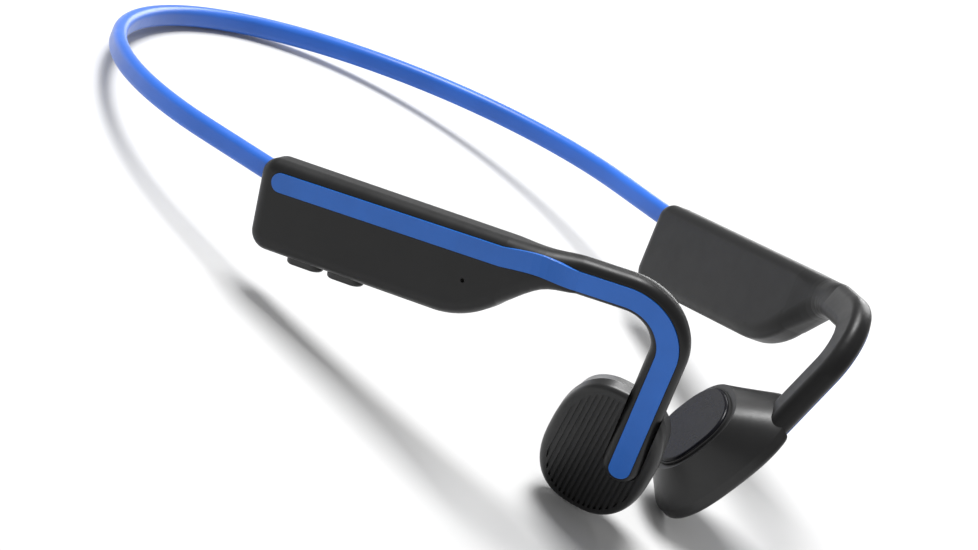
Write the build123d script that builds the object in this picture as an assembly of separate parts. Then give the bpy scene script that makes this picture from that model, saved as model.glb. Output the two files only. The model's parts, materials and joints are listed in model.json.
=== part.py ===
"""Bone conduction headphones: two side pods joined by a neckband, each with an ear hook
that ends in a bone conduction transducer.

A side unit is drawn in its own local frame: X forward along the pod, Y up, Z outward,
with the origin at the pod's lower rear corner on the parting plane of its two shells.
It is drawn once as the wearer's right unit and mirrored for the left one.
"""

import os
from math import acos, atan2, ceil, copysign, cos, hypot, pi, radians, sin

from build123d import *

os.makedirs("parts", exist_ok=True)

# Stance of the side units, in the worn frame (mm, degrees)
pod_spread = 53.64  # mid-plane to a pod's lower rear corner
pod_toe_in = 15.9  # front ends turn towards the cheeks
pod_lean = 8.0  # top edges lean outwards
rest_pitch = 22.5  # nose-up turn from the worn pose to lying on a table

# Pod housing
pod_length = 50.8
pod_height = 16.9
pod_half_thickness = 3.85
pod_edge_radius = 2.6
pod_rear_top_radius = 3.0
pod_rear_bottom_radius = 3.5
pod_floor_length = 38.6  # where the lower edge starts to rise
pod_front_rise = 4.8  # lower edge height at the front of the straight part
wall = 1.2
cavity_half_thickness = 2.75
cavity_rear = 2.0
cavity_front = 49.8

# Neck between the pod and the hook
neck_x = 57.8
neck_low = 9.5
neck_high = 16.9
neck_half_thickness = 3.5
neck_shift = -0.2
neck_turn = 8.0
neck_edge_radius = 3.2
neck_steps = 4  # sections added on each half of the neck

# Ear hook: a bar along a path in its own tilted plane
hook_origin = (59.75, 13.93, -0.95)
hook_toe = 16.4
hook_cant = 18.6
hook_path = [(0, -0.5), (18.75, -1.5), (21.8, -9.85), (16.3, -36.8)]
hook_radii = [9.3, 9.3]
hook_start = 4.0  # where the bar's constant section begins
hook_width = 7.0
hook_half_thickness = 2.2
hook_edge_radius = 1.85
lead_in = (47.8, 13.7, 0)  # where wires leave the pod's cavity
lead_in_radius = 25.0
channel_radius = 1.25

# Accent strip, inlaid in the outer shell
strip_rear_x = 5.0
strip_rear_y = 13.25
strip_front_y = 13.8
strip_half_width = 1.75
strip_hook_half_width = 2.0
strip_neck_shift = 1.15  # above the neck's middle
strip_depth = 0.6
strip_proud = 0.15
inlay_gap = 0.1
multi_button_length = 9.0
multi_button_depth = 0.7
multi_button_pocket = 1.35
multi_button_travel = 0.3

# Neckband
band_entry = (0.8, 13.7, 0)
band_tilt = 9.5  # rises towards the nape
band_radius = 57.4
band_centre = 23.4  # centre of the nape arc, behind the entries
band_height = 4.1
band_thickness = 2.9
band_corner = 1.3
band_inset = 2.0  # how far the sleeve reaches into a pod
band_core_inset = 6.6
band_wire_radius = 0.55
band_lead_radius = 0.3
band_lead_offset = 1.15
fit_gap = 0.05

# Ear hook core
hook_wire_radius = 0.5
hook_wire_end = 0.55  # share of the straight arm that the wire reaches
hook_lead_radius = 0.25
hook_lead_offset = 0.9
hook_lead_turn = 0.67  # share of the arm where the leads turn into the transducer
hook_lead_drop = 4.4

# Transducer, in a frame with X up along its long axis and Z towards the head
transducer_centre = (67.75, -19.0, -17.15)
transducer_toe = -9.2
transducer_tip = 24.6
transducer_lean = 17.8
rim_long, rim_short = 15.2, 10.3
ring_long, ring_short = 9.7, 9.4
panel_long, panel_short = 8.2, 8.3
panel_shift = -0.65
oval_power = 2.5
oval_points = 24
cover_thickness = 2.75
housing_depth = 7.6
panel_face = 8.5
housing_wall = 1.2
rib_pitch = 1.0
rib_groove = 0.45
rib_margin = 1.6

# Controls and the charging port in the right pod's lower edge
button_centres = {"volume_up_button": 19.5, "volume_down_button": 11.0}
button_length = 7.2
button_width = 3.6
button_proud = 1.2
button_flange = 0.5
button_travel = 0.35
port_centre = 34.0
port_sill = 2.2
cover_depth = 1.0
cover_hinge_x = 28.4
cover_front_x = 40.2
cover_half_width = 2.5
usb_length, usb_width, usb_height = 8.94, 3.26, 7.3
light_pipe_x = 25.0
light_pipe_radius = 0.8


def side_frame():
    """Local frame of the right side unit, placed in the worn frame."""
    toe, lean = radians(pod_toe_in), radians(pod_lean)
    forward = Vector(sin(toe), -cos(toe), 0)
    level = Vector(-cos(toe), -sin(toe), 0)
    outward = level * cos(lean) - Vector(0, 0, 1) * sin(lean)
    return Plane(origin=(-pod_spread, 0, 0), x_dir=forward, z_dir=outward)


def hook_frame():
    """Plane of the ear hook's path, in the local frame; Z is the hook's outer face normal."""
    toe, cant = radians(hook_toe), radians(hook_cant)
    normal = Vector(sin(toe) * cos(cant), -sin(cant), cos(toe) * cos(cant))
    return Plane(origin=hook_origin, x_dir=(cos(toe), 0, -sin(toe)), z_dir=normal)


def transducer_frame():
    """Frame at the middle of a transducer's rim, in the local frame."""
    toe, tip, lean = radians(transducer_toe), radians(transducer_tip), radians(transducer_lean)
    inward = Vector(sin(toe) * cos(tip), sin(tip), -cos(toe) * cos(tip))
    along = Vector(sin(lean), cos(lean), 0)
    along = along - inward * along.dot(inward)
    return Plane(origin=transducer_centre, x_dir=along, z_dir=inward)


SIDE = side_frame()
HOOK = hook_frame()
DRIVER = transducer_frame()
BAND_ENTRY = SIDE.from_local_coords(band_entry)
BAND = Plane(
    origin=(0, BAND_ENTRY.Y, BAND_ENTRY.Z),
    x_dir=(1, 0, 0),
    z_dir=(0, -sin(radians(band_tilt)), cos(radians(band_tilt))),
)


# ---------------------------------------------------------------- small builders


def block(x, y, z):
    """Box between two limits on each axis."""
    size = [high - low for low, high in (x, y, z)]
    middle = [(high + low) / 2 for low, high in (x, y, z)]
    return Pos(*middle) * Box(*size)


def stadium(centre_x, length, width, low, high):
    """Upright prism with round ends, its length along X and its height along Y."""
    plane = Plane(origin=(centre_x, low, 0), x_dir=(1, 0, 0), z_dir=(0, 1, 0))
    return extrude(plane * SlotOverall(length, width), high - low)


def half_section(width, half_thickness, radius):
    """Half of a rounded bar's section: X across the bar, Y outward from the parting plane."""
    shape = Pos(0, half_thickness / 2) * Rectangle(width, half_thickness)
    return fillet(shape.vertices().sort_by(Axis.Y)[-2:], radius)


def facing(half, inner):
    """Turn a half section over for the inner shell."""
    return mirror(half, about=Plane.XZ) if inner else half


def superellipse(half_x, half_y, height, shift=0.0):
    """Face of a rounded oval on the plane Z = height."""
    points = []
    for step in range(oval_points):
        angle = 2 * pi * step / oval_points
        x = copysign(abs(cos(angle)) ** (2 / oval_power), cos(angle)) * half_x
        y = copysign(abs(sin(angle)) ** (2 / oval_power), sin(angle)) * half_y
        points.append((x + shift, y, height))
    return make_face(Spline(points, periodic=True))


def oval_prism(half_x, half_y, low, high, shift=0.0):
    """Straight oval plug between two heights."""
    return extrude(superellipse(half_x, half_y, low, shift), high - low, dir=(0, 0, 1))


def hook_point(u, v, out=0.0):
    """Point of the hook's plane, in the local frame."""
    return HOOK.from_local_coords((u, v, out))


def arm_share(share):
    """Plane coordinates of a point on the straight arm, 0 at its top and 1 at its tip."""
    (u0, v0), (u1, v1) = hook_path[-2:]
    return u0 + (u1 - u0) * share, v0 + (v1 - v0) * share


# ---------------------------------------------------------------- side unit envelope


def pod_outline():
    """Side view of the pod's straight part."""
    with BuildSketch() as sketch:
        with BuildLine():
            top = Line((0, pod_height), (pod_length, pod_height))
            front = Line(top @ 1, (pod_length, pod_front_rise))
            floor = Line((pod_floor_length, 0), (0, 0))
            TangentArc(floor @ 0, front @ 1, tangent=(1, 0))
            Line(floor @ 1, top @ 0)
        make_face()
        corners = sketch.vertices().group_by(Axis.X)[0].sort_by(Axis.Y)
        fillet(corners[0], pod_rear_bottom_radius)
        fillet(sketch.vertices().sort_by(Axis.Y)[-2:].sort_by(Axis.X)[0], pod_rear_top_radius)
    return sketch.sketch


def pod_half(inner):
    """Outer or inner half of the pod, solid, with its face edges rounded."""
    half = extrude(pod_outline(), pod_half_thickness)
    face_edges = half.faces().sort_by(Axis.Z)[-1].edges()
    rounded = [edge for edge in face_edges if edge.center().X < pod_length - 0.01]
    half = fillet(rounded, pod_edge_radius)
    return mirror(half, about=Plane.XY) if inner else half


def neck_stations(rear, middle, front):
    """Values at the neck's sections, on a smooth curve through its rear, middle and front."""
    slopes = ((middle - rear) * 0.6, (front - rear) / 2, (front - middle) * 0.9)
    values = []
    for first, second, leave, arrive in (
        (rear, middle, slopes[0], slopes[1]),
        (middle, front, slopes[1], slopes[2]),
    ):
        for step in range(neck_steps + 1):
            t = step / (neck_steps + 1)
            blend = t * t * (3 - 2 * t)
            bow = leave * (t * (1 - t) ** 2) - arrive * (t * t * (1 - t))
            values.append(first * (1 - blend) + second * blend + bow)
    return values + [front]


def neck_planes():
    """Section planes of the neck, with X across the bar and Y outward."""
    turn = radians(neck_turn)
    start = hook_start_plane()
    origins = neck_stations(
        Vector(pod_length, (pod_height + pod_front_rise) / 2, 0),
        Vector(neck_x, (neck_low + neck_high) / 2, neck_shift),
        start.origin,
    )
    across = neck_stations(Vector(0, 1, 0), Vector(0, 1, 0), start.x_dir)
    along = neck_stations(Vector(1, 0, 0), Vector(cos(turn), 0, -sin(turn)), start.z_dir)
    planes = []
    for origin, side, ahead in zip(origins, across, along):
        ahead = ahead.normalized()
        planes.append(Plane(origin=origin, x_dir=side - ahead * side.dot(ahead), z_dir=ahead))
    return planes


def neck_sizes():
    """Width, half thickness and edge radius of the neck's sections."""
    widths = neck_stations(pod_height - pod_front_rise, neck_high - neck_low, hook_width)
    halves = neck_stations(pod_half_thickness, neck_half_thickness, hook_half_thickness)
    radii = neck_stations(pod_edge_radius, neck_edge_radius, hook_edge_radius)
    return list(zip(widths, halves, radii))


def hook_line(start, out=0.0):
    """Centre line of the hook's bar, from a point on its first straight."""
    points = [start] + hook_path[1:]
    return FilletPolyline(*[hook_point(u, v, out) for u, v in points], radius=hook_radii)


def hook_first():
    """Plane coordinates where the bar's constant section begins."""
    (u1, v1) = hook_path[1]
    return hook_start, v1 / u1 * hook_start


def hook_start_plane():
    """Section plane at the start of the bar."""
    line = hook_line(hook_first())
    tangent = line % 0
    return Plane(origin=line @ 0, x_dir=HOOK.z_dir.cross(tangent), z_dir=tangent)


def neck_half(inner):
    """Half of the neck that narrows from the pod to the hook."""
    sections = [
        plane * facing(half_section(*size), inner)
        for plane, size in zip(neck_planes(), neck_sizes())
    ]
    return loft(sections, ruled=True)


def hook_half(inner):
    """Half of the hook's bar with its round lower end."""
    section = facing(half_section(hook_width, hook_half_thickness, hook_edge_radius), inner)
    bar = sweep(hook_start_plane() * section, path=hook_line(hook_first()))
    profile = facing(half_section(hook_width, hook_half_thickness, hook_edge_radius), inner)
    profile = profile & Pos(hook_width / 2, 0) * Rectangle(hook_width, 2 * hook_width)
    tip = Plane(origin=hook_point(*hook_path[-1]), x_dir=HOOK.x_dir, z_dir=-HOOK.y_dir)
    end = revolve(tip * profile, Axis(hook_point(*hook_path[-1]), HOOK.z_dir), 360)
    return bar + end


def arm_envelope(gap):
    """Plain round-ended bar around the arm's lower part, for the pocket it sits in."""
    top = hook_point(*arm_share(0.2))
    tip = hook_point(*hook_path[-1])
    direction = (tip - top).normalized()
    width, thickness = hook_width + 2 * gap, hook_half_thickness + gap
    section = half_section(width, thickness, hook_edge_radius + gap)
    plane = Plane(origin=top, x_dir=HOOK.z_dir.cross(direction), z_dir=direction)
    bar = None
    for inner in (False, True):
        profile = facing(section, inner) & Pos(width / 2, 0) * Rectangle(width, 2 * width)
        round_plane = Plane(origin=tip, x_dir=HOOK.x_dir, z_dir=-HOOK.y_dir)
        piece = extrude(plane * facing(section, inner), (tip - top).length)
        piece = piece + revolve(round_plane * profile, Axis(tip, HOOK.z_dir), 360)
        bar = piece if bar is None else bar + piece
    return bar


def arm_slot(gap):
    """Prism outward from the arm's middle, so that no cover closes over the strip."""
    top = hook_point(*arm_share(0.2))
    tip = hook_point(*hook_path[-1])
    run = (top - tip).length
    width = hook_width + 2 * gap
    plane = Plane(origin=tip, x_dir=top - tip, z_dir=HOOK.z_dir)
    return extrude(plane * (Pos(run / 2, 0) * SlotOverall(run + width, width)), 8)


# ---------------------------------------------------------------- cavities and passages


def pod_cavity():
    """Hollow of the pod, across both shells."""
    low_front = pod_front_rise + wall
    with BuildSketch() as sketch:
        Polygon(
            (cavity_rear, wall),
            (pod_floor_length, wall),
            (cavity_front, low_front),
            (cavity_front, pod_height - wall),
            (cavity_rear, pod_height - wall),
            align=None,
        )
        fillet(sketch.vertices(), 1.0)
    return extrude(sketch.sketch, cavity_half_thickness, both=True)


def wire_line(radius_list, out, end_share, drop=None):
    """Route of a wire from the pod's cavity down the hook; it may turn into the transducer."""
    start = Vector(*lead_in) + Vector(0, 0, out)
    points = [start] + [hook_point(u, v, out) for u, v in hook_path[:-1]]
    turn_point = hook_point(*arm_share(end_share), out)
    points.append(turn_point)
    radii = [lead_in_radius] + hook_radii
    if drop:
        points.append(turn_point - HOOK.z_dir * (drop + out))
        radii = radii + radius_list
    return FilletPolyline(*points, radius=radii)


def tube(line, radius):
    """Round wire along a line."""
    plane = Plane(origin=line @ 0, z_dir=line % 0)
    return sweep(plane * Circle(radius), path=line)


def hook_channel():
    """Passage for the wires through the neck and hook, with its turn into the transducer."""
    channel = tube(wire_line([], 0.0, hook_lead_turn + 0.03), channel_radius)
    turn_point = hook_point(*arm_share(hook_lead_turn))
    drop = Plane(origin=turn_point, z_dir=-HOOK.z_dir)
    return channel + extrude(drop * Circle(channel_radius), hook_lead_drop + 1)


# ---------------------------------------------------------------- accent strip


def strip_block(half_width_extra, low, high):
    """Strip or its groove: from low to high, measured from the outer surface."""
    extra = half_width_extra
    pod_plane = Plane.XY.offset(pod_half_thickness + low)
    rear = (strip_rear_x, strip_rear_y)
    front = (pod_length, strip_front_y)
    angle = atan2(front[1] - rear[1], front[0] - rear[0])
    half = strip_half_width + extra
    across = (-sin(angle) * half, cos(angle) * half)
    flank = [
        (rear[0] + across[0], rear[1] + across[1]),
        (front[0], front[1] + half),
        (front[0], front[1] - half),
        (rear[0] - across[0], rear[1] - across[1]),
    ]
    outline = Polygon(*flank, align=None) + Pos(*rear) * Circle(half)
    shape = extrude(pod_plane * outline, high - low, dir=(0, 0, 1))

    planes = neck_planes()
    shifts = neck_stations(front[1] - planes[0].origin.Y, strip_neck_shift, 0.0)
    middle_width = (strip_half_width + strip_hook_half_width) / 2
    half_widths = neck_stations(strip_half_width, middle_width, strip_hook_half_width)
    sections = []
    for plane, shift, size, half_width in zip(planes, shifts, neck_sizes(), half_widths):
        centre = Pos(shift, size[1] + (low + high) / 2)
        sections.append(plane * (centre * Rectangle(2 * (half_width + extra), high - low)))
    shape = shape + loft(sections, ruled=True)

    shape = shape + sweep(sections[-1], path=hook_line(hook_first()))
    tip = Plane(
        origin=hook_point(*hook_path[-1], hook_half_thickness + low), z_dir=HOOK.z_dir
    )
    return shape + extrude(tip * Circle(strip_hook_half_width + extra), high - low)


def multi_button_zone(end_gap):
    """Prism over the strip's lower end, where the left unit has its button instead."""
    u, v = hook_path[-1]
    tip = hook_point(u, v, hook_half_thickness)
    up = (hook_point(*hook_path[-2]) - hook_point(u, v)).normalized()
    plane = Plane(origin=tip, x_dir=up, z_dir=HOOK.z_dir)
    low, high = -strip_hook_half_width - 1, multi_button_length - strip_hook_half_width - end_gap
    return plane.location * block((low, high), (-3, 3), (-3, 3))


# ---------------------------------------------------------------- neckband


def band_line(inset):
    """Neckband centre line: a straight run out of each pod and an arc round the nape."""
    entry_x = -BAND_ENTRY.X
    reach = hypot(entry_x, band_centre)
    angle = atan2(band_centre, entry_x) - acos(band_radius / reach)
    touch_x = band_radius * cos(angle)
    touch_y = band_centre - band_radius * sin(angle)
    run = hypot(touch_x - entry_x, touch_y)
    stretch = (run + inset) / run
    start_x = touch_x + (entry_x - touch_x) * stretch
    start_y = touch_y * (1 - stretch)
    with BuildLine(BAND) as line:
        Line((-start_x, start_y), (-touch_x, touch_y))
        ThreePointArc((-touch_x, touch_y), (0, band_centre + band_radius), (touch_x, touch_y))
        Line((touch_x, touch_y), (start_x, start_y))
    return line.wires()[0]


def band_sweep(section, inset):
    """Sweep a section along the neckband; section X is across it and Y is along its height."""
    line = band_line(inset)
    tangent = line % 0
    plane = Plane(origin=line @ 0, x_dir=BAND.z_dir.cross(tangent), z_dir=tangent)
    turned = plane.location * (Rot(Z=180) * section)
    return sweep(turned, path=line)


def band_section(grow=0.0):
    """Rounded section of the sleeve."""
    return RectangleRounded(band_thickness + 2 * grow, band_height + 2 * grow, band_corner)


def neckband_sleeve():
    """Moulded sleeve with one bore for the spring wire and two for the leads."""
    bores = Circle(band_wire_radius + 0.02)
    for side in (-1, 1):
        bores = bores + Pos(0, side * band_lead_offset) * Circle(band_lead_radius + 0.02)
    return band_sweep(band_section() - bores, band_inset)


def neckband_wire():
    """Titanium spring wire."""
    return band_sweep(Circle(band_wire_radius), band_core_inset)


def neckband_leads():
    """Pair of insulated leads between the battery and the board."""
    leads = [
        band_sweep(Pos(0, side * band_lead_offset) * Circle(band_lead_radius), band_core_inset + 1)
        for side in (-1, 1)
    ]
    return leads


def band_hole():
    """Passage for the neckband through a pod's rear wall, in the local frame."""
    line = band_line(band_inset + 1)
    tangent = line % 0
    plane = Plane(origin=line @ 0, x_dir=BAND.z_dir.cross(tangent), z_dir=tangent)
    return SIDE.location.inverse() * extrude(plane * band_section(fit_gap), 12)


def band_core_holes():
    """Clearance round the wire and leads inside a pod, in the local frame."""
    holes = None
    for offset, radius in (
        (0, band_wire_radius),
        (-band_lead_offset, band_lead_radius),
        (band_lead_offset, band_lead_radius),
    ):
        line = band_line(band_core_inset + 3)
        tangent = line % 0
        plane = Plane(origin=line @ 0, x_dir=BAND.z_dir.cross(tangent), z_dir=tangent)
        hole = extrude(plane * (Pos(0, offset) * Circle(radius + 0.02)), 14)
        holes = hole if holes is None else holes + hole
    return SIDE.location.inverse() * holes


def band_anchor():
    """Clamp block that holds the end of the spring wire."""
    return block((3.6, 7.6), (11.0, 15.0), (-1.6, 2.6)) - band_core_holes()


# ---------------------------------------------------------------- shells


def port_pocket():
    """Recess for the port cover and its anchor, with the port's mouth above it."""
    recess = block((cover_hinge_x - 1.7, cover_front_x + 0.3), (-1, cover_depth), (-2.65, 2.65))
    return recess + stadium(port_centre, usb_length + 0.1, usb_width + 0.1, 0, port_sill + 1)


def right_pod_cuts():
    """Openings of the right pod: buttons, port, light pipe and microphone."""
    cuts = port_pocket()
    for centre in button_centres.values():
        cuts = cuts + stadium(centre, button_length + 0.1, button_width + 0.1, -1, wall + 0.5)
    pipe = Plane(origin=(light_pipe_x, -1, 0), x_dir=(1, 0, 0), z_dir=(0, 1, 0))
    cuts = cuts + extrude(pipe * Circle(light_pipe_radius + fit_gap), wall + 1.5)
    return cuts + microphone_hole()


def microphone_hole():
    """Sound inlet through the outer shell."""
    return Pos(44.3, 7.4, 3) * Cylinder(0.4, 3)


def shell(inner, right):
    """One shell of a side unit, hollowed for what it holds."""
    body = pod_half(inner) + neck_half(inner) + hook_half(inner)
    hollow = pod_cavity()
    if right:
        hollow = hollow - block((27.3, 41.2), (0, port_sill), (-4, 4))
    body = body - hollow - hook_channel() - band_hole()
    if right:
        body = body - right_pod_cuts()
    else:
        body = body - microphone_hole()
    if not inner:
        body = body - strip_block(inlay_gap, -strip_depth - 0.05, 1.0)
        if not right:
            deep = strip_block(inlay_gap, -multi_button_pocket, 1.0)
            body = body - (deep & multi_button_zone(0.0))
    return body


def accent_strip(right):
    """Coloured inlay that runs from the pod's rear down to the end of the arm."""
    strip = strip_block(0.0, -strip_depth, strip_proud)
    return strip if right else strip - multi_button_zone(-inlay_gap)


def multifunction_button():
    """Push button that continues the left strip at the end of the arm."""
    return strip_block(-0.05, -multi_button_depth, strip_proud + 0.05) & multi_button_zone(0.15)


def multifunction_switch():
    """Dome switch under the multifunction button."""
    u, v = hook_path[-1]
    up = (hook_point(*hook_path[-2]) - hook_point(u, v)).normalized()
    foot = hook_point(u, v, hook_half_thickness - multi_button_pocket) + up * 2.6
    plane = Plane(origin=foot, x_dir=up, z_dir=HOOK.z_dir)
    base = plane.location * block((-2.2, 2.2), (-1.4, 1.4), (0, 0.15))
    return base + extrude(plane * Circle(1.1), 0.3)


# ---------------------------------------------------------------- ear hook core


def hook_wire():
    """Titanium core of the hook."""
    line = wire_line([], 0.0, hook_wire_end)
    full = tube(line, hook_wire_radius)
    return full - block((40, 52), (5, 20), (-5, 5))


def hook_leads():
    """Pair of leads that run beside the core and turn into the transducer."""
    leads = []
    for out in (-hook_lead_offset, hook_lead_offset):
        drop = hook_lead_drop
        line = wire_line([1.6], out, hook_lead_turn, drop)
        leads.append(tube(line, hook_lead_radius))
    return leads


# ---------------------------------------------------------------- transducer


def in_driver(shape):
    """Place a transducer piece in the local frame."""
    return DRIVER.location * shape


def lead_drop_hole():
    """Clearance for the leads through the transducer's outer pieces."""
    drop = Plane(origin=hook_point(*arm_share(hook_lead_turn), 1), z_dir=-HOOK.z_dir)
    return extrude(drop * Circle(channel_radius + 0.1), hook_lead_drop + 3)


def transducer_cover():
    """Ribbed outer cover, with a pocket that the arm's end lies in."""
    rim = oval_prism(rim_long, rim_short, -cover_thickness, 0)
    rim = fillet(rim.faces().sort_by(Axis.Z)[0].edges(), 1.2)
    rim = rim - oval_prism(rim_long - 1.6, rim_short - 1.6, -cover_thickness + 1.3, 0.5)
    grooves = None
    rows = ceil((rim_short - rib_margin) / rib_pitch)
    for row in range(-rows, rows + 1):
        offset = row * rib_pitch
        groove = block(
            (-rim_long, rim_long),
            (offset - rib_groove / 2, offset + rib_groove / 2),
            (-cover_thickness - 1, -cover_thickness + rib_groove),
        )
        grooves = groove if grooves is None else grooves + groove
    field = oval_prism(
        rim_long - rib_margin, rim_short - rib_margin, -cover_thickness - 1, -cover_thickness + 1
    )
    cover = in_driver(rim - (grooves & field))
    return cover - arm_envelope(fit_gap) - arm_slot(fit_gap) - lead_drop_hole()


def transducer_housing():
    """Tapered body between the rim and the vibration panel."""
    outer = loft(
        [
            superellipse(rim_long, rim_short, 0),
            superellipse(ring_long, ring_short, housing_depth, panel_shift),
        ],
        ruled=True,
    )
    inner = loft(
        [
            superellipse(rim_long - housing_wall, rim_short - housing_wall, 0),
            superellipse(
                ring_long - housing_wall,
                ring_short - housing_wall,
                housing_depth - 0.8,
                panel_shift,
            ),
        ],
        ruled=True,
    )
    mouth = oval_prism(panel_long + 0.4, panel_short + 0.4, 5, housing_depth + 1, panel_shift)
    return in_driver(outer - inner - mouth) - arm_envelope(fit_gap)


def driver_frame():
    """Plate that carries the magnet cup inside the housing."""
    plate = oval_prism(rim_long - 3.7, rim_short - 1.6, 1.7, 2.5)
    plate = plate - Pos(panel_shift, 0, 2) * Cylinder(6.1, 4)
    return in_driver(plate) - arm_envelope(0.2) - lead_drop_hole()


def magnet_yoke():
    """Steel cup of the magnetic circuit."""
    cup = Pos(panel_shift, 0, 3.2) * Cylinder(6.0, 3.2)
    return in_driver(cup - Pos(panel_shift, 0, 3.9) * Cylinder(5.3, 3.2)) - arm_envelope(0.2)


def driver_magnet():
    """Neodymium disc in the middle of the cup."""
    return in_driver(Pos(panel_shift, 0, 3.35) * Cylinder(3.9, 2.1))


def voice_coil():
    """Coil in the gap between the magnet and the cup."""
    ring = Pos(panel_shift, 0, 4.6) * Cylinder(4.95, 2.6)
    return in_driver(ring - Pos(panel_shift, 0, 4.6) * Cylinder(4.25, 3))


def spring_plate():
    """Slotted leaf spring that centres the coil under the panel."""
    plate = Pos(panel_shift, 0, 6.05) * Cylinder(7.4, 0.3)
    for turn in range(3):
        slot = Pos(5.9, 0, 6.05) * Box(0.5, 7.0, 1)
        plate = plate - Pos(panel_shift, 0, 0) * (Rot(Z=120 * turn) * slot)
    return in_driver(plate)


def vibration_panel():
    """Smooth panel that rests in front of the ear."""
    face = oval_prism(panel_long, panel_short, 7.0, panel_face, panel_shift)
    face = fillet(face.faces().sort_by(Axis.Z)[-1].edges(), 0.5)
    return in_driver(face + Pos(panel_shift, 0, 6.65) * Cylinder(4.0, 0.8))


def panel_gasket():
    """Soft ring that seals the panel in the housing's mouth."""
    ring = oval_prism(panel_long + 0.35, panel_short + 0.35, 7.0, 8.0, panel_shift)
    return in_driver(
        ring - oval_prism(panel_long + 0.05, panel_short + 0.05, 6, 9, panel_shift)
    )


# ---------------------------------------------------------------- contents of the right pod


def volume_button(centre):
    """Push button with a flange behind the wall."""
    cap = stadium(centre, button_length, button_width, -button_proud, wall + 0.1)
    cap = fillet(cap.faces().sort_by(Axis.Y)[0].edges(), 0.6)
    flange = stadium(
        centre, button_length + 0.9, button_width + 0.9, wall + 0.1, wall + 0.1 + button_flange
    )
    return cap + flange


def volume_switches():
    """Two tact switches on the lower edge of the board."""
    low = wall + 0.1 + button_flange + button_travel + 0.05
    switches = []
    for centre in button_centres.values():
        body = block((centre - 1.8, centre + 1.8), (low + 0.5, low + 2.0), (-1.65, 1.2))
        switches.append(body + block((centre - 0.8, centre + 0.8), (low, low + 0.5), (-0.8, 0.8)))
    return switches


def main_board():
    """Circuit board along the inner wall."""
    outline = Polygon((8, 3.6), (39.6, 3.6), (46.6, 7.2), (46.6, 14.8), (8, 14.8), align=None)
    return extrude(Plane.XY.offset(-2.5) * outline, 0.8)


def board_shield():
    """Shield can over the radio and audio chips."""
    can = block((9.3, 25.3), (7.2, 13.8), (-1.65, 0.2))
    return can - block((9.6, 25.0), (7.5, 13.5), (-2, -0.1))


def usb_shell():
    """Steel shell of the USB-C receptacle, mouth down."""
    low = cover_depth + 0.05
    shell_body = stadium(port_centre, usb_length, usb_width, low, low + usb_height)
    return shell_body - stadium(port_centre, usb_length - 0.6, usb_width - 0.6, 0, 7.4)


def usb_tongue():
    """Contact tongue in the receptacle."""
    low = cover_depth + 1.1
    return block((port_centre - 3.3, port_centre + 3.3), (low, 7.3), (-0.35, 0.35))


def pod_skin(x, half_width, depth):
    """Piece of the pod's lower skin between two stations."""
    body = pod_half(False) + pod_half(True)
    return body & block(x, (-1, depth), (-half_width, half_width))


def port_cover():
    """Soft flap over the charging port, with a plug that enters the receptacle."""
    skin = pod_skin((cover_hinge_x, cover_front_x), cover_half_width, cover_depth - 0.05)
    return skin + stadium(port_centre, 7.4, 2.1, cover_depth - 0.1, cover_depth + 0.85)


def port_cover_anchor():
    """Root of the flap, held in the pod behind the fold."""
    return pod_skin((cover_hinge_x - 1.6, cover_hinge_x - 0.05), cover_half_width, cover_depth - 0.05)


def led_light_pipe():
    """Clear pin that shows the status light."""
    plane = Plane(origin=(light_pipe_x, 0.05, 0), x_dir=(1, 0, 0), z_dir=(0, 1, 0))
    return extrude(plane * Circle(light_pipe_radius), 3.0)


def antenna():
    """Flexible antenna strip under the pod's roof."""
    return block((10, 44), (15.2, 15.4), (-1.6, 1.6))


def microphone():
    """Microphone capsule behind the outer shell's inlet."""
    return Pos(44.3, 7.4, 2.1) * Cylinder(1.6, 1.2)


# ---------------------------------------------------------------- contents of the left pod


def battery_cell():
    """Lithium pouch cell."""
    cell = block((8.8, 41.2), (3.1, 14.6), (-2.3, 2.3))
    return fillet(cell.edges().filter_by(Axis.X), 0.8)


def battery_foam():
    """Foam strip under the cell."""
    return block((9, 36), (1.3, 3.0), (-2.0, 2.0))


def battery_board():
    """Protection board in front of the cell."""
    return block((41.7, 42.4), (8.0, 14.6), (-2.2, 1.2))


# ---------------------------------------------------------------- assembly


def to_rest(shape):
    """Turn the worn headphones into the pose in which they lie on a table."""
    return REST * shape


def right_unit(shape):
    """Place a local piece on the wearer's right."""
    return SIDE.location * shape


def left_unit(shape):
    """Place a local piece on the wearer's left."""
    return mirror(SIDE.location * shape, about=Plane.YZ)


def gather(name, shape):
    """Record a node; a list of solids becomes one node of separate solids."""
    solids = []
    for item in shape if isinstance(shape, list) else [shape]:
        solids.extend(item.solids())
    nodes[name] = solids


nodes = {}
gather("neckband_sleeve", neckband_sleeve())
gather("neckband_wire", neckband_wire())
gather("neckband_leads", neckband_leads())

for side_name, right in (("right", True), ("left", False)):
    place = right_unit if right else left_unit
    pieces = {
        "outer_shell": shell(False, right),
        "inner_shell": shell(True, right),
        "accent_strip": accent_strip(right),
        "band_anchor": band_anchor(),
        "hook_wire": hook_wire(),
        "hook_leads": hook_leads(),
        "microphone": microphone(),
        "transducer_cover": transducer_cover(),
        "transducer_housing": transducer_housing(),
        "driver_frame": driver_frame(),
        "magnet_yoke": magnet_yoke(),
        "driver_magnet": driver_magnet(),
        "voice_coil": voice_coil(),
        "spring_plate": spring_plate(),
        "vibration_panel": vibration_panel(),
        "panel_gasket": panel_gasket(),
    }
    for name, piece in pieces.items():
        items = piece if isinstance(piece, list) else [piece]
        gather(f"{side_name}_{name}", [place(item) for item in items])

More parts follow.
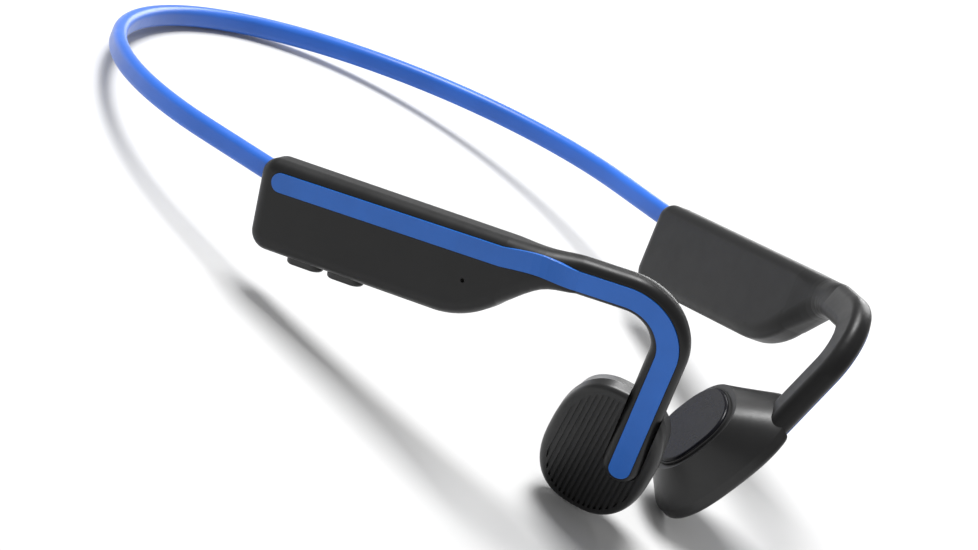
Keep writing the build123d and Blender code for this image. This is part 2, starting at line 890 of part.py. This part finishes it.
for name, centre in button_centres.items():
    gather(name, right_unit(volume_button(centre)))
gather("volume_switches", [right_unit(item) for item in volume_switches()])
gather("main_board", right_unit(main_board()))
gather("board_shield", right_unit(board_shield()))
gather("usb_shell", right_unit(usb_shell()))
gather("usb_tongue", right_unit(usb_tongue()))
gather("port_cover", right_unit(port_cover()))
gather("port_cover_anchor", right_unit(port_cover_anchor()))
gather("led_light_pipe", right_unit(led_light_pipe()))
gather("antenna", right_unit(antenna()))
gather("multifunction_button", left_unit(multifunction_button()))
gather("multifunction_switch", left_unit(multifunction_switch()))
gather("battery_cell", left_unit(battery_cell()))
gather("battery_foam", left_unit(battery_foam()))
gather("battery_board", left_unit(battery_board()))

# Lie the assembly down, then put the origin under the middle of its box
turned = {name: [Rot(X=-rest_pitch) * solid for solid in solids] for name, solids in nodes.items()}
box = Compound([solid for solids in turned.values() for solid in solids]).bounding_box()
REST = Pos(-box.center().X, -box.center().Y, -box.min.Z) * Rot(X=-rest_pitch)

if __name__ == "__main__":
    for name, solids in nodes.items():
        placed = [to_rest(solid) for solid in solids]
        export_step(Compound(placed), f"parts/{name}.step")
    size = box.size
    print(f"{len(nodes)} nodes, box {size.X:.1f} x {size.Y:.1f} x {size.Z:.1f} mm")
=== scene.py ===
"""Looks of the bone conduction headphones: materials, neckband meshes, floor, camera and light."""

import json
import math

import bpy
from mathutils import Matrix, Vector


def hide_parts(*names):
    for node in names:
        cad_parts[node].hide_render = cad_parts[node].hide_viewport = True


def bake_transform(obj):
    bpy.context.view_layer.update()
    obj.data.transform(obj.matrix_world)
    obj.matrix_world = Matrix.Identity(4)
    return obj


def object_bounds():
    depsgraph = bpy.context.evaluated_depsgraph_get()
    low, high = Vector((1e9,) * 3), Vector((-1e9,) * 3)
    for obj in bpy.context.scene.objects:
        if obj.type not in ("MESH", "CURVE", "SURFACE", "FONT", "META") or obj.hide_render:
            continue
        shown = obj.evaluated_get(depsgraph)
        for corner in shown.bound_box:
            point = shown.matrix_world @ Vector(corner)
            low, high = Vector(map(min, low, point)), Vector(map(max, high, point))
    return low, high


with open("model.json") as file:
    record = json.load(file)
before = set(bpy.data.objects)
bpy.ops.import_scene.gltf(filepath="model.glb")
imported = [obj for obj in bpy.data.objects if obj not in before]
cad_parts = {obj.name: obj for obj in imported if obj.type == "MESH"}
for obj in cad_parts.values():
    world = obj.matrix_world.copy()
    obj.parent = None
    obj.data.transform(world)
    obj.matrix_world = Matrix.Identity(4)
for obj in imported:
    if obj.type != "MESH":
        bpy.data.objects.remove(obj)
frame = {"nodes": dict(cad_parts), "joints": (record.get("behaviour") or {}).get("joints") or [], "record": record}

# Camera of the photograph's view, in the right pod's local frame: forward, up, outward
CAMERA_PLACE = (0.403373, 0.22905, 0.708657)
CAMERA_RIGHT = (0.85092, 0.1943, -0.48804)
CAMERA_DOWN = (0.29789, -0.94373, 0.14366)
CAMERA_LENS = 174.2
CAMERA_SENSOR = 36

# Lights that face the part's middle; a direction is right, up and forward as the camera sees it
KEY_LIGHT = {"direction": (0.3, 1.0, -0.22), "distance": 1.0, "size": 0.45, "power": 16.0}
RIM_LIGHT = {"direction": (0.5, 0.5, 0.75), "distance": 1.1, "size": 0.5, "power": 6.0}
WORLD_STRENGTH = 0.36

# Floor
FLOOR_REACH = 8.0
FLOOR_GAP = 0.0002  # below the part's lowest point

# Surface noise; scales are per metre
DRIFT_SCALE = 60
SMEAR_SCALE = 260
WAVE_RATIO = 7  # the coarse relief is this many times wider than the grain
NOISE_LOW = 0.3
NOISE_HIGH = 0.7

# Neckband
BAND_ENTRY = (0.0008, 0.0137, 0.0)
BAND_RADIUS = 0.0574
BAND_INSET = 0.002
BAND_THICKNESS = 0.0029
BAND_HEIGHT = 0.0041
BAND_CORNER = 0.0013
WIRE_RADIUS = 0.00055
WIRE_INSET = 0.0066
LEAD_RADIUS = 0.0003
LEAD_OFFSET = 0.00115
LEAD_INSET = 0.0076

# Steps along each straight run and the arc, and points of a corner and of a round section
RUN_STEPS = 24
ARC_STEPS = 160
CORNER_POINTS = 9
ROUND_POINTS = 16

cad_low, cad_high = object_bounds()
joints = {joint["name"]: joint for joint in frame["joints"]}

# Local frame of the right pod, from its lower rear corner
COVER_HINGE = 0.0284  # how far forward the port cover's hinge is
UP = Vector(joints["volume_up_press"]["axis"])
OUT = -Vector(joints["port_cover_fold"]["axis"])
FORWARD = UP.cross(OUT)
ORIGIN = Vector(joints["port_cover_fold"]["pos_m"]) - FORWARD * COVER_HINGE


def turned(local):
    """Direction given in the right pod's local frame."""
    return FORWARD * local[0] + UP * local[1] + OUT * local[2]


def right_point(local):
    """Point given in the right pod's local frame."""
    return ORIGIN + turned(local)


# ---------------------------------------------------------------- materials


def link(tree, source, output, target, socket):
    """Join one node's output to another node's input."""
    tree.links.new(source.outputs[output], target.inputs[socket])


def noise(tree, coordinates, scale, detail, roughness=0.55):
    """Noise texture in object coordinates."""
    node = tree.nodes.new("ShaderNodeTexNoise")
    node.inputs["Scale"].default_value = scale
    node.inputs["Detail"].default_value = detail
    node.inputs["Roughness"].default_value = roughness
    link(tree, coordinates, "Object", node, "Vector")
    return node


def mapped(tree, source, low, high):
    """Map a noise value to a range."""
    node = tree.nodes.new("ShaderNodeMapRange")
    node.inputs["From Min"].default_value = NOISE_LOW
    node.inputs["From Max"].default_value = NOISE_HIGH
    node.inputs["To Min"].default_value = low
    node.inputs["To Max"].default_value = high
    link(tree, source, "Fac", node, "Value")
    return node


def surface(name, color, rough, grain, relief, drift_share=0.11, **shader):
    """Moulded or metal surface: slow colour drift, uneven gloss and two scales of fine relief."""
    material = bpy.data.materials.new(name)
    material.use_nodes = True
    tree = material.node_tree
    principled = tree.nodes["Principled BSDF"]
    for socket, value in shader.items():
        principled.inputs[socket.replace("_", " ")].default_value = value
    coordinates = tree.nodes.new("ShaderNodeTexCoord")

    drift = noise(tree, coordinates, DRIFT_SCALE, 3)
    shade = tree.nodes.new("ShaderNodeMix")
    shade.data_type = "RGBA"
    shade.inputs["A"].default_value = (*[c * (1 - drift_share) for c in color], 1)
    shade.inputs["B"].default_value = (*[min(c * (1 + drift_share), 1) for c in color], 1)
    link(tree, mapped(tree, drift, 0, 1), "Result", shade, "Factor")
    link(tree, shade, "Result", principled, "Base Color")

    smears = noise(tree, coordinates, SMEAR_SCALE, 5, 0.65)
    gloss = mapped(tree, smears, rough * 0.88, min(rough * 1.14, 1))
    link(tree, gloss, "Result", principled, "Roughness")

    fine = noise(tree, coordinates, grain, 2)
    wave = noise(tree, coordinates, grain / WAVE_RATIO, 2)
    both = tree.nodes.new("ShaderNodeMath")
    both.operation = "ADD"
    link(tree, fine, "Fac", both, 0)
    link(tree, wave, "Fac", both, 1)
    bump = tree.nodes.new("ShaderNodeBump")
    bump.inputs["Strength"].default_value = 1.0
    bump.inputs["Distance"].default_value = relief
    link(tree, both, "Value", bump, "Height")
    link(tree, bump, "Normal", principled, "Normal")
    return material


def brushed(name, color, rough):
    """Drawn or rolled metal with fine streaks."""
    material = surface(name, color, rough, 6000, 0.000004, Metallic=1.0)
    tree = material.node_tree
    coordinates = tree.nodes["Texture Coordinate"]
    stretch = tree.nodes.new("ShaderNodeMapping")
    stretch.inputs["Scale"].default_value = (1.0, 1.0, 12.0)
    link(tree, coordinates, "Object", stretch, "Vector")
    streaks = tree.nodes.new("ShaderNodeTexNoise")
    streaks.inputs["Scale"].default_value = 900
    link(tree, stretch, "Vector", streaks, "Vector")
    gloss = mapped(tree, streaks, rough * 0.7, rough * 1.3)
    link(tree, gloss, "Result", tree.nodes["Principled BSDF"], "Roughness")
    return material


def foil(name, color):
    """Crinkled laminated foil."""
    material = surface(name, color, 0.35, 1500, 0.00001, Metallic=0.9)
    tree = material.node_tree
    cells = tree.nodes.new("ShaderNodeTexVoronoi")
    cells.inputs["Scale"].default_value = 350
    link(tree, tree.nodes["Texture Coordinate"], "Object", cells, "Vector")
    crease = tree.nodes.new("ShaderNodeBump")
    crease.inputs["Distance"].default_value = 0.00006
    link(tree, cells, "Distance", crease, "Height")
    link(tree, tree.nodes["Bump"], "Normal", crease, "Normal")
    link(tree, crease, "Normal", tree.nodes["Principled BSDF"], "Normal")
    return material


FINISHES = {
    "band_blue": surface(
        "silicone_blue", (0.022, 0.128, 0.56), 0.36, 9000, 0.000003, Specular_IOR_Level=0.42,
        Sheen_Weight=0.08, Sheen_Roughness=0.4,
    ),
    "accent_blue": surface(
        "satin_blue", (0.013, 0.128, 0.52), 0.34, 7000, 0.0000025, Specular_IOR_Level=0.4,
    ),
    "shell_black": surface(
        "soft_touch_black", (0.009, 0.009, 0.0093), 0.4, 5200, 0.000004, Specular_IOR_Level=0.28,
        Sheen_Weight=0.02, Sheen_Roughness=0.5,
    ),
    "transducer_black": surface(
        "soft_touch_charcoal", (0.013, 0.013, 0.0134), 0.36, 5200, 0.000004,
        Specular_IOR_Level=0.42, Sheen_Weight=0.02, Sheen_Roughness=0.5,
    ),
    "panel_gloss": surface(
        "smooth_dark_skin", (0.004, 0.004, 0.0065), 0.26, 7000, 0.000001, Specular_IOR_Level=0.16,
        Coat_Weight=0.02, Coat_Roughness=0.15,
    ),
    "soft_seal": surface("seal_silicone", (0.012, 0.012, 0.012), 0.55, 8000, 0.000004),
    "button_black": surface("button_plastic", (0.008, 0.008, 0.008), 0.32, 6000, 0.000003),
    "frame_nylon": surface("glass_filled_nylon", (0.05, 0.05, 0.055), 0.6, 2600, 0.000015),
    "lead_insulation": surface("lead_insulation", (0.33, 0.03, 0.03), 0.45, 5000, 0.000003),
    "circuit_board": surface("solder_mask", (0.01, 0.09, 0.035), 0.35, 1800, 0.000012),
    "foam": surface("closed_cell_foam", (0.03, 0.03, 0.03), 0.9, 1300, 0.00006),
    "light_pipe": surface(
        "clear_polycarbonate", (0.9, 0.92, 0.95), 0.12, 5000, 0.000001, Transmission_Weight=0.9,
        IOR=1.58,
    ),
    "spring_metal": brushed("drawn_titanium", (0.55, 0.53, 0.5), 0.32),
    "plated_steel": brushed("nickel_plated_steel", (0.6, 0.6, 0.61), 0.25),
    "component_metal": brushed("tinned_metal", (0.52, 0.52, 0.5), 0.38),
    "copper": brushed("enamelled_copper", (0.72, 0.36, 0.18), 0.28),
    "battery_foil": foil("laminated_foil", (0.6, 0.61, 0.63)),
}

slots = {part["node"]: part["material_slot"] for part in frame["record"]["subparts"]}
for name, node in frame["nodes"].items():
    node.data.materials.clear()
    node.data.materials.append(FINISHES[slots[name]])


# ---------------------------------------------------------------- neckband


def band_stations(inset):
    """Points and outward directions along the neckband, from the right pod to the left one.

    The path is an arc round the nape with a straight run into each pod. It is worked out in the
    band's own plane, x across and y back from the arc's centre.
    """
    hinge = joints["band_spread"]
    normal = -Vector(hinge["axis"]).normalized()
    across = Vector((1, 0, 0))
    back = normal.cross(across)
    centre = Vector(hinge["pos_m"]) - back * BAND_RADIUS

    def placed(flat):
        return across * flat.x + back * flat.y

    entry = right_point(BAND_ENTRY) - centre
    end = Vector((entry.dot(across), entry.dot(back)))
    reach = math.hypot(entry.dot(across), entry.dot(back))
    touch = math.atan2(entry.dot(back), entry.dot(across)) - math.acos(BAND_RADIUS / reach)
    start = Vector((BAND_RADIUS * math.cos(touch), BAND_RADIUS * math.sin(touch)))
    end = end + (end - start).normalized() * inset

    run = [
        (end.lerp(start, step / RUN_STEPS), start.normalized()) for step in range(RUN_STEPS + 1)
    ]
    arc = []
    sweep = (touch % (2 * math.pi)) - math.pi / 2
    for step in range(1, ARC_STEPS):
        angle = math.pi / 2 + sweep * (1 - 2 * step / ARC_STEPS)
        radial = Vector((math.cos(angle), math.sin(angle)))
        arc.append((radial * BAND_RADIUS, radial))
    mirrored = [(Vector((-p.x, p.y)), Vector((-d.x, d.y))) for p, d in reversed(run)]
    return [(centre + placed(p), placed(d)) for p, d in run + arc + mirrored], normal


def rounded_section(width, height, corner):
    """Rounded rectangle, anticlockwise."""
    points = []
    for turn, (sx, sy) in enumerate(((1, 1), (-1, 1), (-1, -1), (1, -1))):
        for step in range(CORNER_POINTS):
            angle = math.pi / 2 * (turn + step / (CORNER_POINTS - 1))
            x = sx * (width / 2 - corner) + corner * math.cos(angle)
            y = sy * (height / 2 - corner) + corner * math.sin(angle)
            points.append((x, y))
    return points


def round_section(radius):
    """Circle, anticlockwise."""
    turns = [2 * math.pi * step / ROUND_POINTS for step in range(ROUND_POINTS)]
    return [(radius * math.cos(turn), radius * math.sin(turn)) for turn in turns]


def band_tube(name, section, inset, rise, slot_name):
    """Tube along the neckband, on its curved path from one pod to the other."""
    stations, normal = band_stations(inset)
    count = len(section)
    vertices = []
    for point, outward in stations:
        for x, y in section:
            vertices.append(point + outward * x + normal * (y + rise))
    faces = []
    for row in range(len(stations) - 1):
        for step in range(count):
            a = row * count + step
            b = row * count + (step + 1) % count
            faces.append((a, a + count, b + count, b))
    last = (len(stations) - 1) * count
    faces.append(tuple(range(count)))
    faces.append(tuple(last + step for step in reversed(range(count))))

    mesh = bpy.data.meshes.new(name)
    mesh.from_pydata(vertices, [], faces)
    mesh.polygons.foreach_set("use_smooth", [True] * len(mesh.polygons))
    mesh.update()
    piece = bpy.data.objects.new(name, mesh)
    bpy.context.scene.collection.objects.link(piece)
    mesh.materials.append(FINISHES[slot_name])
    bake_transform(piece)
    return piece


sleeve_section = rounded_section(BAND_THICKNESS, BAND_HEIGHT, BAND_CORNER)
sleeve = band_tube("band_sleeve", sleeve_section, BAND_INSET, 0, "band_blue")
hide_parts("neckband_sleeve")
wire = band_tube("band_wire", round_section(WIRE_RADIUS), WIRE_INSET, 0, "spring_metal")
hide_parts("neckband_wire")
for name, rise in (("band_lead_upper", LEAD_OFFSET), ("band_lead_lower", -LEAD_OFFSET)):
    lead = band_tube(name, round_section(LEAD_RADIUS), LEAD_INSET, rise, "lead_insulation")
    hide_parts("neckband_leads")


# ---------------------------------------------------------------- floor, camera and light

floor_corners = [(-1, -1), (1, -1), (1, 1), (-1, 1)]
floor_mesh = bpy.data.meshes.new("floor")
floor_mesh.from_pydata(
    [(x * FLOOR_REACH, y * FLOOR_REACH, 0) for x, y in floor_corners], [], [(0, 1, 2, 3)]
)
floor = bpy.data.objects.new("floor", floor_mesh)
floor.location.z = cad_low.z - FLOOR_GAP
bpy.context.scene.collection.objects.link(floor)
floor_mesh.materials.append(
    surface("pale_floor", (0.62, 0.62, 0.62), 0.9, 2000, 0.000002, 0.008, Specular_IOR_Level=0.05)
)

world = bpy.data.worlds.new("studio")
bpy.context.scene.world = world
world.use_nodes = True
background = world.node_tree.nodes["Background"]
background.inputs["Color"].default_value = (1, 1, 1, 1)
background.inputs["Strength"].default_value = WORLD_STRENGTH
bpy.context.scene.view_settings.view_transform = "Standard"

right = turned(CAMERA_RIGHT).normalized()
down = turned(CAMERA_DOWN).normalized()
forward = right.cross(down).normalized()
camera_data = bpy.data.cameras.new("camera")
camera_data.lens = CAMERA_LENS
camera_data.sensor_width = CAMERA_SENSOR
camera_data.clip_start = 0.05
camera_data.clip_end = 50
camera = bpy.data.objects.new("camera", camera_data)
bpy.context.scene.collection.objects.link(camera)
axes = Matrix((right, -down, -forward)).transposed()
camera.matrix_world = Matrix.Translation(right_point(CAMERA_PLACE)) @ axes.to_4x4()
bpy.context.scene.camera = camera


def area_light(name, direction, distance, size, power):
    """Square light that faces the part's middle."""
    data = bpy.data.lights.new(name, "AREA")
    data.size = size
    data.energy = power
    light = bpy.data.objects.new(name, data)
    bpy.context.scene.collection.objects.link(light)
    sideways, upward, onward = direction
    towards = (-down * upward + forward * onward + right * sideways).normalized()
    light.location = (cad_low + cad_high) / 2 + towards * distance
    light.rotation_mode = "QUATERNION"
    light.rotation_quaternion = towards.to_track_quat("Z", "Y")


area_light("key", **KEY_LIGHT)
area_light("rim", **RIM_LIGHT)
